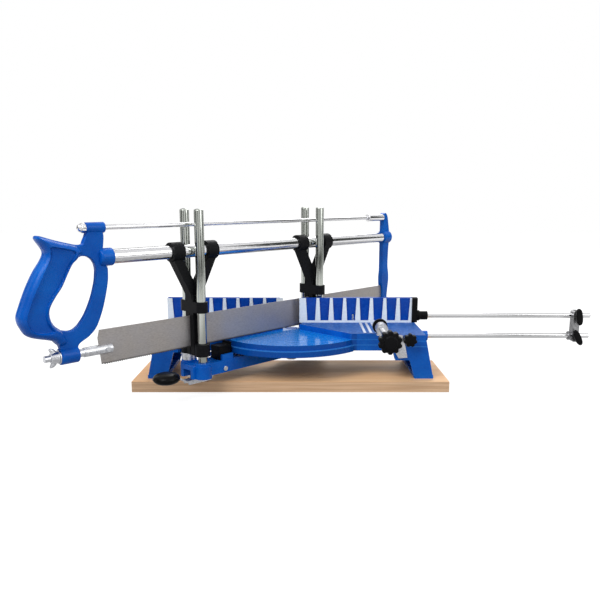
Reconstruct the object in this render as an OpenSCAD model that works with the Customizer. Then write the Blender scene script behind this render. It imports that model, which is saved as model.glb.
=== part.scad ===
// Manual mitre saw on a board: cast base with a recessed quadrant and a fence, a swinging arm with
// four guide posts, a framed hand saw running in two lifting carriages, a work clamp, a length stop.
// Millimetres, +Z up, +X along the fence, +Y to the back. The origin lies on the underside of the
// board, straight below the swing axis. Everything on the arm is drawn along s (-s = handle end)
// and turned by the resting mitre angle.

/* [Board] */
// Board length along the fence
board_w = 465; // [440:1:520]
// Board depth, front to back
board_d = 122; // [112:1:150]
// Board thickness
board_t = 16; // [12:1:24]

/* [Base casting] */
// Height of the bed above the board
bed_h = 66; // [60:1:80]
// Depth of the bed skirt
apron_h = 26; // [22:1:30]
// Half length of the bed
bed_half = 199; // [194:1:212]
// Step from the bed front forward to the legs
leg_step = 11; // [9:1:14]
// Back edge of the casting behind the fence face
bed_back = 12; // [12:1:16]
// Width of a leg at the bed
leg_w = 33; // [30:1:38]
// Outward splay of a leg
leg_splay = 13; // [8:1:16]
// Wall thickness of the casting
wall = 5; // [4:0.5:6]
// Radius of the recessed quadrant
quad_r = 124; // [118:1:128]
// Depth of the quadrant below the bed
recess_d = 9; // [8:0.5:11]
// Width of the ledge below the quadrant
ledge_w = 4; // [3:0.5:5]
// Half angle of the quadrant
quad_a = 47; // [46.5:0.5:48]
// Width of an index slot under the rim
notch_w = 6; // [4:0.5:7]

/* [Fence] */
// Fence height above the bed
fence_h = 40; // [34:1:48]
// Fence thickness
fence_t = 7; // [6.5:0.5:8]
// Half width of the blade gap at the fence face
gap_half = 13; // [12:0.5:16]
// Recessed panels on each half
panel_n = 8; // [6:1:8]
// Bare rib between panels, at the top
rib_w = 4.4; // [4:0.1:6]
// Panel depth
panel_d = 2.2; // [1.5:0.1:3]

/* [Swing arm] */
// Resting mitre angle to the left
rest_mitre = 45; // [45:0.5:45]
// Arm height
arm_h = 18; // [17:0.5:20]
// Gap from board to arm
arm_lift = 16; // [15:0.5:17]
// Front post pair, distance before the pivot
front_s = 188; // [184:1:200]
// Rear post pair, distance behind the pivot
rear_s = 48; // [46:1:56]
// Post diameter
post_d = 13; // [12:0.5:14]
// Spacing of a post pair across the blade
post_gap = 33; // [32:0.5:38]
// Post top above the bed
post_rise = 184; // [175:1:200]
// Height of a depth collar
collar_h = 10; // [9:0.5:10]

/* [Saw] */
// Frame tube diameter
tube_d = 18; // [16:0.5:19]
// Frame tube above the tooth tips
tube_rise = 134; // [130:1:140]
// Blade height
blade_h = 45; // [40:1:48]
// Blade thickness
blade_t = 0.9; // [0.7:0.1:1]
// Tooth spacing
tooth_pitch = 3; // [2.5:0.5:4]
// Tooth tips above the quadrant
blade_gap = 2; // [1.5:0.5:3]
// Far end of the saw frame behind the pivot
far_s = 238; // [236:1:260]
// Grip thickness
grip_t = 28; // [24:1:32]

/* [Work clamp] */
// Clamp axis from the centre
clamp_x = 132; // [126:1:136]
// Clamp axis above the bed
clamp_rise = 12; // [12:0.5:16]
// Clamp screw diameter
clamp_d = 8; // [7:0.5:9]
// Clamp foot diameter
foot_d = 22; // [18:1:23]
// Clamp knob diameter
knob_d = 32; // [28:1:32]

/* [Length stop] */
// Stop rod diameter
rod_d = 8; // [6:0.5:8.5]
// End of the stop rods from the centre
rod_end = 484; // [470:1:520]
// Upper rod above the bed
rod_up = 11; // [10:0.5:13]
// Lower rod below the bed
rod_down = 22.5; // [22:0.5:24]
// Stop bar from the centre at rest
stop_x = 460; // [440:1:462]

/* [Fits] */
// Radial gap of shafts in holes
run_gap = 0.05; // [0.03:0.01:0.1]
// Gap beside sliding flat faces
slide_gap = 0.3; // [0.3:0.05:0.4]

/* [Hidden] */
$fn = 48;
eps = 1;
blue = [0.05, 0.28, 0.67];
black = [0.06, 0.06, 0.07];
plated = [0.75, 0.76, 0.78];
wood = [0.80, 0.62, 0.42];
// heights
bed_z = board_t + bed_h;
apron_z = bed_z - apron_h;
floor_z = bed_z - recess_d;
ledge_z = floor_z - 8;
bed_t = 7;
floor_t = 6;
arm_z = board_t + arm_lift;
arm_top = arm_z + arm_h;
boss_top = arm_top + 4;
lug_z = boss_top + collar_h;
tooth_z = floor_z + blade_gap;
blade_top = tooth_z + blade_h;
tube_z = tooth_z + tube_rise;
rod_z = tube_z + 36;
stud_z = tooth_z + 20;
post_top = bed_z + post_rise;
post_seat = arm_z + 4;
// plan
bed_reach = quad_r * cos(quad_a) - 1.6;
leg_reach = bed_reach + leg_step;
leg_in = bed_half - leg_w;
foot_out = bed_half + leg_splay;
foot_in = foot_out - 28;
cap_end = bed_half + 4;
leg_y = -leg_reach;
notch_back = fence_t;
notch_half = 78;
hub_r = 18;
pivot_d = 10;
pivot_head = 18;
boss_r = 15;
rim_r = quad_r + ledge_w;
stops = [0, 15, 22.5, 30, 36, 45];
screw_d = 4;
screw_x = foot_in + 13;
fence_end = bed_half;
cap_t = 9;
cap_x = cap_end - cap_t;
panel_x = gap_half + 10.5;
panel_pitch = (cap_x - 3 - panel_x + rib_w) / panel_n;
panel_w = panel_pitch - rib_w;
fence_bolts = [fence_end * 0.5, fence_end * 0.87];
bolt_y = fence_t / 2;
rod_y = 5;
rod_top_z = bed_z + rod_up;
rod_low_z = bed_z - rod_down;
bush_l = 17;
post_y = post_gap / 2;
channel_w = 17;
strip_w = 13;
strip_t = 2.5;
pin_s = -(quad_r + 24);
pin_z = arm_z + 6;
pin_d = 4;
finger_t = 3;
pawl_w = 20;
pawl_s0 = -(rim_r + slide_gap);
pawl_l = 26;
pad_s = -238;
tube_s0 = -322;
seat_s = -309;
top_boss_s = -341;
top_boss_l = 24;
top_boss_d = 13;
low_boss_s = -383;
low_boss_l = 22.5;
low_boss_d = 20;
nut_l = 5;
stud_end = -401;
holder_s = -353;
holder_l = 37;
holder_d = 12;
holder_pin_s = -323;
blade_s = -333;
cross_d = 4;
pin_rise = 20;
sleeve_l = 41.5;
sleeve_d = 12.5;
ten_d = 6;
washer_t = 1.6;
wing_l = 9.4;
wing_r = 12;
stem_s = 17;
stem_y = 18;
ring_off = 28;
ring_l = 17;
ring_d = tube_d + 8;
slot_w = blade_t + 2 * slide_gap;
far_t = 13;
stud_d = 8;
nut_s = low_boss_s - washer_t;
clamp_z = bed_z + clamp_rise;
barrel_y0 = leg_y - 20;
barrel_y1 = leg_y - 2;
foot_y = leg_y + 10;
lock_x = leg_in + 8;
lock_z = bed_z - 5;

// points of a smooth closed curve through a short list of outline points
function wrap(p, i) = p[(i + len(p)) % len(p)];
function mid(a, b, c, d, t) = 0.5 * (2 * b + (c - a) * t + (2 * a - 5 * b + 4 * c - d) * t * t
    + (3 * b - a - 3 * c + d) * t * t * t);
function smooth(p, n) = [for (i = [0:len(p) - 1]) for (k = [0:n - 1])
    mid(wrap(p, i - 1), wrap(p, i), wrap(p, i + 1), wrap(p, i + 2), k / n)];
// the same closed outline moved inward by d along its point normals
function inset(p, d) = [for (i = [0:len(p) - 1])
    let (v = wrap(p, i + 1) - wrap(p, i - 1)) p[i] + d * [-v[1], v[0]] / norm(v)];

module across(y0, t) translate([0, y0 + t, 0]) rotate([90, 0, 0]) linear_extrude(t) children();
module bar_x(d, x0, x1, y, z) translate([x0, y, z]) rotate([0, 90, 0]) cylinder(d = d, h = x1 - x0);
module bar_y(d, x, z, y0, y1) translate([x, y1, z]) rotate([90, 0, 0]) cylinder(d = d, h = y1 - y0);
module bar_z(d, x, y, z0, z1) translate([x, y, z0]) cylinder(d = d, h = z1 - z0);
module both() { children(); mirror([1, 0, 0]) children(); }
module mitred() rotate([0, 0, rest_mitre]) children();
module lobed(d, n, r) difference() {
    circle(d = d);
    for (i = [0:n - 1]) rotate(i * 360 / n) translate([d / 2 + r * 0.55, 0]) circle(r = r);
}

// board
module base_board() color(wood) difference() {
    translate([-board_w / 2, bed_back - board_d, 0]) cube([board_w, board_d, board_t]);
    board_screw_places() bar_z(screw_d + 2 * run_gap, 0, 0, 4, board_t + eps);
}
module board_screw_places() both() for (y = [leg_y + 22, bed_back - 20])
    translate([screw_x, y, 0]) children();
module board_screws() color(plated) board_screw_places() {
    bar_z(screw_d, 0, 0, 4.5, board_t + wall);
    difference() {
        bar_z(9, 0, 0, board_t + wall, board_t + wall + 3);
        for (a = [0, 90]) rotate(a) translate([-2.5, -0.5, board_t + wall + 1.4]) cube([5, 1, 3]);
    }
}

// cast base
module wedge(r, a) intersection() {
    circle(r = r, $fn = 96);
    polygon([[0, 0], 2 * r * [-sin(a), -cos(a)], [0, -4 * r], 2 * r * [sin(a), -cos(a)]]);
}
module bed_plan() polygon([[-bed_half, leg_y], [-leg_in, leg_y], [6 - leg_in, -bed_reach],
    [leg_in - 6, -bed_reach], [leg_in, leg_y], [bed_half, leg_y], [bed_half, bed_back],
    [notch_half, bed_back], [notch_half - 6, notch_back], [6 - notch_half, notch_back],
    [-notch_half, bed_back], [-bed_half, bed_back]]);
module leg() {
    h = bed_z - 2;
    for (y = [leg_y, bed_back - wall]) across(y, wall)
        polygon([[leg_in, h], [bed_half, h], [foot_out, board_t], [foot_in, board_t]]);
    across(leg_y, leg_reach + bed_back) {
        polygon([[bed_half - wall, h], [bed_half, h], [foot_out, board_t], [foot_out - wall, board_t]]);
        polygon([[foot_in, board_t], [foot_out, board_t], [foot_out, board_t + wall],
            [foot_in, board_t + wall]]);
    }
}
module wing_hollow() translate([0, 0, apron_z - eps]) linear_extrude(apron_h - bed_t + eps)
    difference() {
        polygon([[30, -bed_reach + wall], [leg_in - 4, -bed_reach + wall], [leg_in - 4, leg_y + wall],
            [bed_half - wall, leg_y + wall], [bed_half - wall, bed_back - 4], [notch_half + 4, bed_back - 4],
            [notch_half - 4, notch_back - 4], [30, notch_back - 4]]);
        wedge(quad_r + 40, quad_a + 2.5);
        circle(r = 34);
    }
module quad_hollow() translate([0, 0, apron_z - eps]) linear_extrude(floor_z - floor_t - apron_z + eps)
    difference() {
        wedge(quad_r - wall, quad_a - 3);
        circle(r = boss_r + 8);
        for (a = [-30, -10, 10, 30]) rotate(a) translate([-1.5, -quad_r]) square([3, quad_r]);
    }
module base_casting() color(blue) difference() {
    union() {
        translate([0, 0, apron_z]) linear_extrude(apron_h) bed_plan();
        translate([0, 0, apron_z]) linear_extrude(ledge_z - apron_z) wedge(rim_r, quad_a);
        translate([0, 0, apron_z]) linear_extrude(floor_z - apron_z) wedge(quad_r, quad_a);
        bar_z(2 * boss_r, 0, 0, arm_top, floor_z - 1);
        both() leg();
        across(leg_y, 12) polygon([[leg_in - 21, bed_z - 1], [leg_in + 4, bed_z - 1],
            [leg_in + 16, bed_z - 38], [leg_in - 11, bed_z - 38]]);
        bar_x(rod_d + 8, bed_half - 6, cap_end + bush_l + 1, rod_y, rod_low_z);
        across(rod_y - 2.5, 5) polygon([[bed_half - 2, bed_z - 4], [cap_end + bush_l - 2, rod_low_z + 4],
            [cap_end + bush_l - 2, rod_low_z - 4], [bed_half + 2, rod_low_z - 18]]);
        both() for (i = [0:2]) translate([clamp_x - 23 + 9 * i, 4 - bed_reach, bed_z - 1])
            cube([4, bed_reach - 8, 1.5]);
    }
    translate([0, 0, floor_z]) linear_extrude(recess_d + eps) {
        wedge(quad_r + 60, quad_a);
        circle(r = hub_r);
    }
    both() wing_hollow();
    quad_hollow();
    for (a = stops) for (k = [-1, 1]) rotate(k * a)
        translate([-notch_w / 2, 2.5 - rim_r, apron_z - eps]) cube([notch_w, 5, 4 + eps]);
    bar_z(pivot_d + 2 * run_gap, 0, 0, arm_top - eps, floor_z + eps);
    bar_z(pivot_head + 1, 0, 0, floor_z - 4, floor_z + eps);
    board_screw_places() bar_z(screw_d + 2 * run_gap, 0, 0, board_t - eps, board_t + wall + eps);
    both() for (x = fence_bolts) bar_z(screw_d + 2 * run_gap, x, bolt_y, bed_z - bed_t - eps, bed_z + eps);
    bar_x(rod_d + 2 * run_gap, bed_half, cap_end + bush_l + 2, rod_y, rod_low_z);
    bar_y(screw_d + 2 * run_gap, cap_end + bush_l - 6, rod_low_z, rod_y - 12, rod_y);
    clamp_bolt_places() bar_y(screw_d + 1 + 2 * run_gap, 0, 0, leg_y - eps, leg_y + 13);
    bar_y(6 + 2 * run_gap, lock_x, lock_z, leg_y - eps, leg_y + 14);
}

// fence halves, split for the blade and flared to the back
module fence_half(end) difference() {
    union() {
        translate([0, 0, bed_z]) linear_extrude(fence_h)
            polygon([[gap_half, 0], [end, 0], [end, fence_t], [gap_half + fence_t, fence_t]]);
        for (x = fence_bolts) translate([x - 6, fence_t - 1, bed_z])
            cube([12, bed_back - fence_t + 1, 16]);
        translate([notch_half + 6, fence_t - 1, bed_z + fence_h - 5])
            cube([end - notch_half - 6, bed_back - fence_t + 1, 5]);
    }
    for (i = [0:panel_n - 1]) across(-eps, panel_d + eps) polygon([
        [panel_x + i * panel_pitch, bed_z + fence_h + eps],
        [panel_x + i * panel_pitch + panel_w, bed_z + fence_h + eps],
        [panel_x + i * panel_pitch + panel_w - 2.2, bed_z + 3.6],
        [panel_x + i * panel_pitch + 2.2, bed_z + 3.6]]);
    for (x = fence_bolts) bar_z(screw_d + 2 * run_gap, x, bolt_y, bed_z - eps, bed_z + 14);
}
module fence_left() color(blue) mirror([1, 0, 0]) fence_half(fence_end);
module fence_right() color(blue) fence_half(cap_x);
module fence_screws() color(plated) both() for (x = fence_bolts) {
    bar_z(screw_d, x, bolt_y, bed_z - bed_t, bed_z + 13);
    bar_z(7, x, bolt_y, bed_z - bed_t - 3, bed_z - bed_t);
}
module cap_side(w, h, r) {
    translate([0, r]) square([w, h - 2 * r]);
    translate([r, 0]) square([w - 2 * r, h]);
    for (x = [r, w - r]) for (y = [r, h - r]) translate([x, y]) circle(r = r);
}
module fence_end_cap() color(black) difference() {
    translate([cap_x, -1.5, bed_z]) rotate([90, 0, 90]) linear_extrude(cap_t)
        cap_side(bed_back + 1.5, fence_h + 0.5, 3);
    bar_x(rod_d + 2 * run_gap, cap_x + 2, cap_end + eps, rod_y, rod_top_z);
}

// stop rods and their holders
module rod_bush() color(black) difference() {
    union() {
        bar_x(rod_d + 6, cap_end, cap_end + bush_l, rod_y, rod_top_z);
        bar_x(rod_d + 9, cap_end, cap_end + 4, rod_y, rod_top_z);
    }
    bar_x(rod_d + 2 * run_gap, cap_end - eps, cap_end + bush_l + eps, rod_y, rod_top_z);
    bar_y(screw_d + 2 * run_gap, cap_end + bush_l - 6, rod_top_z, rod_y - 12, rod_y);
}
module stop_rod(x0, z) {
    bar_x(rod_d, x0, rod_end - 1, rod_y, z);
    translate([rod_end - 1, rod_y, z]) rotate([0, 90, 0]) cylinder(d1 = rod_d, d2 = rod_d - 2, h = 1);
}
module upper_stop_rod() color(plated) stop_rod(cap_x + 2, rod_top_z);
module lower_stop_rod() color(plated) stop_rod(bed_half, rod_low_z);
module rod_set_screws() color(plated) for (z = [rod_top_z, rod_low_z]) difference() {
    bar_y(screw_d, cap_end + bush_l - 6, z, rod_y - rod_d / 2 - 5, rod_y - rod_d / 2);
    translate([cap_end + bush_l - 6, rod_y - rod_d / 2 - 3, z]) rotate([90, 0, 0])
        cylinder(d = 2.3, h = 4, $fn = 6);
}

// swing pivot
module pivot_bolt() color(plated) difference() {
    union() {
        bar_z(pivot_d, 0, 0, arm_z - 10, floor_z - 3);
        bar_z(pivot_head, 0, 0, floor_z - 4, floor_z - 0.5);
    }
    translate([-9, -1, floor_z - 2]) cube([18, 2, 4]);
}
module pivot_washer() color(plated) difference() {
    bar_z(22, 0, 0, arm_z - 1.5, arm_z);
    bar_z(pivot_d + 2 * run_gap, 0, 0, arm_z - 3, arm_z + eps);
}
module pivot_nut() color(plated) difference() {
    translate([0, 0, arm_z - 9.5]) cylinder(d = 18, h = 8, $fn = 6);
    bar_z(pivot_d + 2 * run_gap, 0, 0, arm_z - 12, arm_z);
}

// swinging arm: a channel open below with a post pair at each end
module arm_plan() {
    translate([-front_s - 16, -15]) square([front_s + rear_s + 27, 30]);
    circle(r = 24);
    for (s = [-front_s, rear_s]) {
        translate([s - 11, -post_y]) square([22, post_gap]);
        for (k = [-1, 1]) translate([s, k * post_y]) circle(r = 12);
    }
}
module post_places() for (s = [-front_s, rear_s]) for (k = [-1, 1]) translate([s, k * post_y, 0]) children();
module swing_arm() color(blue) mitred() difference() {
    union() {
        translate([0, 0, arm_z]) linear_extrude(arm_h) arm_plan();
        post_places() bar_z(22, 0, 0, arm_top - 1, boss_top);
        for (k = [-1, 1]) translate([pawl_s0 - pawl_l + 2, k * (pawl_w / 2 + slide_gap + 2) - 2, arm_top - 1])
            cube([pawl_l - 6, 4, 9]);
    }
    translate([-front_s - 40, -channel_w / 2, arm_z - eps])
        cube([front_s - 20, channel_w, arm_h - 6 + eps]);
    translate([pin_s - 8, -5, arm_top - 8]) cube([15, 10, 10]);
    bar_z(pivot_d + 2 * run_gap, 0, 0, arm_z - eps, arm_top + eps);
    post_places() {
        bar_z(post_d + 2 * run_gap, 0, 0, post_seat, boss_top + eps);
        bar_z(6 + 2 * run_gap, 0, 0, arm_z - eps, post_seat + eps);
    }
    bar_y(pin_d + 2 * run_gap, pin_s, pin_z, -20, 20);
}
module post(s, k) color(plated) mitred() difference() {
    translate([s, k * post_y, 0]) {
        bar_z(post_d, 0, 0, post_seat, post_top - 2);
        translate([0, 0, post_top - 2]) cylinder(d1 = post_d, d2 = post_d - 4, h = 2);
    }
    bar_z(6 + 2 * run_gap, s, k * post_y, post_seat - eps, post_seat + 18);
}
module post_front_near() post(-front_s, -1);
module post_front_far() post(-front_s, 1);
module post_rear_near() post(rear_s, -1);
module post_rear_far() post(rear_s, 1);
module post_bolts() color(plated) mitred() post_places() {
    bar_z(6, 0, 0, arm_z, post_seat + 16);
    translate([0, 0, arm_z - 4]) cylinder(d = 10, h = 4, $fn = 6);
}
// depth collars that the carriages rest on
module collar(s) color(plated) mitred() difference() {
    union() {
        bar_z(21, s, post_y, boss_top, lug_z);
        bar_y(6, s, boss_top + collar_h / 2, post_y + 8, post_y + 16);
    }
    bar_z(post_d + 2 * run_gap, s, post_y, boss_top - eps, lug_z + eps);
}
module collar_front() collar(-front_s);
module collar_rear() collar(rear_s);

// index lever with its pad and the pawl that it draws back
module lever_pin() color(plated) mitred() {
    bar_y(pin_d, pin_s, pin_z, -17, 15);
    bar_y(pin_d + 3, pin_s, pin_z, -17, -15);
}
// side line of the lever strip, from the pin down below the arm and up into the pad
function strip_line(dz, back = false) = let (p = [[pin_s + 4, pin_z + dz], [pin_s - 5, pin_z + dz],
    [pin_s - 16, arm_z - 2 + dz], [-front_s - 20, arm_z - 3 + dz], [pad_s + 16, pin_z + dz],
    [pad_s - 8, pin_z + dz]]) back ? [for (i = [5:-1:0]) p[i]] : p;
module index_lever() color(plated) mitred() difference() {
    union() {
        across(-strip_w / 2, strip_w) polygon(concat(strip_line(0), strip_line(-strip_t, true)));
        for (y = [-strip_w / 2, strip_w / 2 - 2]) across(y, 2) polygon([[pin_s - 15, arm_z - 3],
            [-front_s - 19, arm_z - 4], [-front_s - 17, arm_z - 9], [pin_s - 20, arm_z - 9]]);
        bar_y(pin_d + 5, pin_s, pin_z, -strip_w / 2, strip_w / 2);
        translate([pin_s - finger_t / 2, -4, pin_z]) cube([finger_t, 8, arm_top + 10 - pin_z]);
    }
    bar_y(pin_d + 2 * run_gap, pin_s, pin_z, -20, 20);
}
module lever_pad() color(black) mitred() difference() {
    translate([pad_s, 0, pin_z - 8]) rotate_extrude($fn = 64) polygon([[0, 0], [12, 0], [16, 2], [18, 6],
        [18, 10], [16, 14], [12, 16], [0, 16]]);
    across(-strip_w / 2, strip_w) polygon(concat(strip_line(0), strip_line(-strip_t, true)));
}
module index_pawl() color(black) mitred() difference() {
    union() {
        translate([pawl_s0 - pawl_l, -pawl_w / 2, arm_top]) cube([pawl_l - 4, pawl_w, 20]);
        translate([pawl_s0 - 5, -pawl_w / 2, arm_top]) cube([1.5, pawl_w, 24]);
        translate([pawl_s0 - 5, -notch_w / 2 + 0.5, arm_top + 7]) cube([5, notch_w - 1, 7]);
        translate([pawl_s0 - 5, -notch_w / 2 + 0.5, arm_top]) cube([12, notch_w - 1, apron_z - arm_top - slide_gap]);
    }
    translate([pin_s - finger_t / 2 - 1.6, -4.5, arm_top - eps])
        cube([finger_t + 3.2, 9, 12 + eps]);
}

// lifting carriages
module carriage(s) color(black) mitred() translate([s, 0, 0]) difference() {
    union() {
        translate([-stem_s / 2, -stem_y / 2, lug_z]) cube([stem_s, stem_y, tube_z - 60 - lug_z]);
        for (k = [0, 1]) mirror([k, 0, 0]) {
            across(-7, 14) polygon([[-1, tube_z - 72], [stem_s / 2, tube_z - 72], [stem_s / 2 + 1, tube_z - 60],
                [ring_off + 6, tube_z - 12], [ring_off + 6, tube_z], [ring_off - 6, tube_z],
                [ring_off - 6.5, tube_z - 9], [0, tube_z - 48], [-1, tube_z - 48]]);
            bar_x(ring_d, ring_off - ring_l / 2, ring_off + ring_l / 2, 0, tube_z);
        }
        for (k = [-1, 1]) {
            bar_z(post_d + 8, 0, k * post_y, lug_z, lug_z + 17);
            bar_z(post_d + 5, 0, k * post_y, tube_z - 84, tube_z - 69);
        }
        translate([-8, -post_y, lug_z]) cube([16, post_gap, 17]);
        translate([-9, -post_y, tube_z - 84]) cube([18, post_gap, 15]);
    }
    for (k = [-1, 1]) bar_z(post_d + 2 * run_gap, 0, k * post_y, lug_z - eps, tube_z);
    bar_x(tube_d + 2 * run_gap, -60, 60, 0, tube_z);
    translate([-30, -slot_w / 2, lug_z - eps]) cube([60, slot_w, blade_top + 3 - lug_z + eps]);
}
module front_carriage() carriage(-front_s);
module rear_carriage() carriage(rear_s);

// saw frame
grip_back = [[-402, 26], [-399, 28.6], [-377, 22], [-358, 16.5], [-348, 9], [-352, 0.5], [-361.5, -13],
    [-371, -27.5], [-382, -42], [-389.5, -52.5], [-391.8, -62], [-388, -74], [-379, -82], [-374, -96],
    [-385, -98.5], [-392, -92], [-416, -84.5], [-424, -75], [-428.5, -62], [-425, -46], [-417, -28],
    [-407, -11], [-397.5, 2], [-395, 10]];
loop_out = [[-402, 26], [-399, 28.6], [-377, 22], [-351, 16], [-346, 22.5], [-337, 36], [-325, 36], [-321, 28],
    [-321, 10], [-316, -10], [-318.8, -31], [-324.8, -50], [-332, -67], [-344, -84], [-360, -100],
    [-364, -114], [-378, -116], [-384, -99], [-391, -92], [-416, -84.5], [-424, -75], [-428.5, -62],
    [-425, -46], [-417, -28], [-407, -11], [-397.5, 2], [-395, 10]];
grip_core = [[-391, 18.5], [-376, 18], [-362, 13], [-353, 6], [-356, -3], [-364.5, -15], [-374, -28.5],
    [-385.5, -42], [-393.5, -54], [-395, -64], [-391.5, -76], [-384, -86], [-391, -90], [-402, -86],
    [-414.5, -81.5], [-421.5, -73], [-425, -61.5], [-421.5, -46.5], [-413.5, -29.5], [-403.5, -12.5],
    [-394.5, 1], [-392.5, 10]];
grip_panel = [[-388, 15], [-374, 13.5], [-360, 9], [-363, -3], [-370, -14.5], [-380, -28.5], [-390.5, -42],
    [-398.5, -54], [-400, -63], [-399, -72], [-404, -80], [-413, -78.5], [-419.5, -71], [-422, -61.5],
    [-418.5, -48], [-410.5, -31], [-400.5, -13.5], [-391, 2], [-389.5, 10]];
loop_in = [[-357, -5], [-351, 1], [-343.5, 2.4], [-336, -0.5], [-330, -8], [-329, -14], [-331, -30],
    [-337, -49], [-345.5, -66], [-355, -78.5], [-367, -84.3], [-379, -81.5], [-389.5, -71], [-392, -59.5],
    [-389.5, -52], [-382, -41.5], [-373.5, -30.5], [-365, -17.5]];
// outline heights below the tube follow the drop from tube to stud
loop_drop = 114;
function hang(p) = [for (q = p) [q[0], q[1] < 0 ? q[1] * (tube_z - stud_z) / loop_drop : q[1]]];
module raised() translate([0, 0, tube_z]) children();
module saw_handle() color(blue) mitred() difference() {
    union() {
        raised() across(-4, 8) difference() {
            polygon(smooth(hang(loop_out), 4));
            polygon(smooth(hang(loop_in), 4));
        }
        raised() across(-grip_t / 2 + 5, grip_t - 10) polygon(smooth(hang(grip_back), 4));
        raised() across(-grip_t / 2 + 2, grip_t - 4) polygon(inset(smooth(hang(grip_back), 4), -1));
        raised() across(-grip_t / 2, grip_t) polygon(smooth(hang(grip_core), 4));
        bar_x(tube_d + 4, tube_s0 - 4, seat_s, 0, tube_z);
        bar_x(top_boss_d, top_boss_s, top_boss_s + top_boss_l, 0, rod_z);
        bar_x(low_boss_d, low_boss_s, low_boss_s + low_boss_l, 0, stud_z);
    }
    bar_x(tube_d + 2 * run_gap, tube_s0, seat_s + eps, 0, tube_z);
    bar_x(ten_d + 2 * run_gap, top_boss_s - eps, top_boss_s + top_boss_l + eps, 0, rod_z);
    bar_x(stud_d + 2 * run_gap, low_boss_s - 12, low_boss_s + low_boss_l + 4, 0, stud_z);
    bar_z(screw_d + 2 * run_gap, seat_s - 8, 0, tube_z - 30, tube_z);
    raised() for (k = [-1, 1]) across(k * (grip_t / 2) - 2, 4) polygon(smooth(hang(grip_panel), 4));
}
module saw_tube() color(plated) mitred() difference() {
    bar_x(tube_d, tube_s0, far_s + 7, 0, tube_z);
    bar_x(tube_d - 3, tube_s0 - eps, far_s + 8, 0, tube_z);
}
module tension_rod() color(plated) mitred() bar_x(ten_d, top_boss_s - 3, far_s - 8, 0, rod_z);
module rod_dome_nut() color(plated) mitred() difference() {
    union() {
        translate([top_boss_s - nut_l, 0, rod_z]) rotate([0, 90, 0]) cylinder(d = 12, h = nut_l, $fn = 6);
        intersection() {
            translate([top_boss_s - nut_l + 1, 0, rod_z]) sphere(d = 10);
            translate([top_boss_s - nut_l - 6, -6, rod_z - 6]) cube([7, 12, 12]);
        }
    }
    bar_x(ten_d + 2 * run_gap, top_boss_s - 3, top_boss_s + eps, 0, rod_z);
}
module rod_sleeve_nut() color(plated) mitred() difference() {
    bar_x(sleeve_d, far_s - far_t / 2 - sleeve_l, far_s - far_t / 2, 0, rod_z);
    bar_x(ten_d + 2 * run_gap, far_s - far_t / 2 - sleeve_l - eps, far_s - 8, 0, rod_z);
}
// outline of the far arm; heights below the tube are parts of its drop
far_drop = tube_rise - 10;
far_line = [[-6, 39], [-4.5, 43], [0, 43.5], [4.5, 37], [7, 26], [9.5, 14], [10.5, 5], [10.5, -4],
    [9.5, -0.11 * far_drop], [8.5, -0.21 * far_drop], [8, -0.42 * far_drop], [10.5, -0.53 * far_drop],
    [11.5, -0.63 * far_drop], [10, -0.73 * far_drop], [8, -0.84 * far_drop], [6.5, -0.97 * far_drop],
    [4, -far_drop], [-3, -far_drop], [-4.5, -0.97 * far_drop], [-5, -0.8 * far_drop], [-7.5, -0.69 * far_drop],
    [-8, -0.58 * far_drop], [-6.5, -0.47 * far_drop], [-6.5, -0.16 * far_drop], [-6.5, 10]];
module far_arm() color(blue) mitred() difference() {
    union() {
        raised() across(-4.5, 9) translate([far_s, 0]) polygon(smooth(far_line, 3));
        bar_x(tube_d + 5, far_s - far_t / 2, far_s + 10, 0, tube_z);
    }
    bar_x(tube_d + 2 * run_gap, far_s - far_t / 2 - eps, far_s + 7, 0, tube_z);
    translate([far_s - 12, -slot_w / 2, tooth_z + 4]) cube([15.5, slot_w, blade_h]);
    bar_y(cross_d + 2 * run_gap, far_s - 1, tooth_z + pin_rise, -8, 8);
    bar_z(screw_d + 2 * run_gap, far_s, 0, tube_z - 16, tube_z);
}
// blade with sloped ends and a row of teeth
tooth_n = floor((far_s - blade_s - 12) / tooth_pitch);
module blade() color(plated) mitred() difference() {
    across(-blade_t / 2, blade_t) polygon(concat([for (i = [0:tooth_n - 1]) for (k = [0, 1])
        [blade_s + 6 + (i + 0.55 * k) * tooth_pitch, tooth_z + (k == 0 ? 1.6 : 0)]],
        [[far_s - 4, tooth_z + 2], [far_s + 2, tooth_z + 8], [far_s + 2, blade_top - 2], [far_s, blade_top],
        [blade_s + 2, blade_top], [blade_s - 0.7, blade_top - 10], [blade_s + 3, tooth_z + 1]]));
    bar_y(cross_d + 2 * run_gap, holder_pin_s, stud_z, -8, 8);
    bar_y(cross_d + 2 * run_gap, far_s - 1, tooth_z + pin_rise, -8, 8);
}
module blade_holder() color(plated) mitred() difference() {
    union() {
        bar_x(stud_d, stud_end, holder_s + 3, 0, stud_z);
        bar_x(holder_d, holder_s, holder_s + holder_l, 0, stud_z);
        bar_x(holder_d - 2, low_boss_s + low_boss_l, holder_s, 0, stud_z);
    }
    translate([blade_s - 1, -slot_w / 2, stud_z - 10]) cube([20, slot_w, 20]);
    bar_y(cross_d + 2 * run_gap, holder_pin_s, stud_z, -8, 8);
}
module cross_pin(s, z, w) {
    bar_y(cross_d, s, z, -w, w);
    bar_y(cross_d + 2.5, s, z, -w - 1.5, -w);
}
module holder_pin() color(plated) mitred() cross_pin(holder_pin_s, stud_z, holder_d / 2 + 0.2);
module far_pin() color(plated) mitred() cross_pin(far_s - 1, tooth_z + pin_rise, 4.5);
module stud_washer() color(plated) mitred() difference() {
    bar_x(low_boss_d - 3, low_boss_s - washer_t, low_boss_s, 0, stud_z);
    bar_x(stud_d + 2 * run_gap, low_boss_s - washer_t - eps, low_boss_s + eps, 0, stud_z);
}
module frame_screws() color(plated) mitred() for (s = [seat_s - 8, far_s])
    bar_z(screw_d, s, 0, tube_z - tube_d / 2 - 4, tube_z - tube_d / 2);
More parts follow.
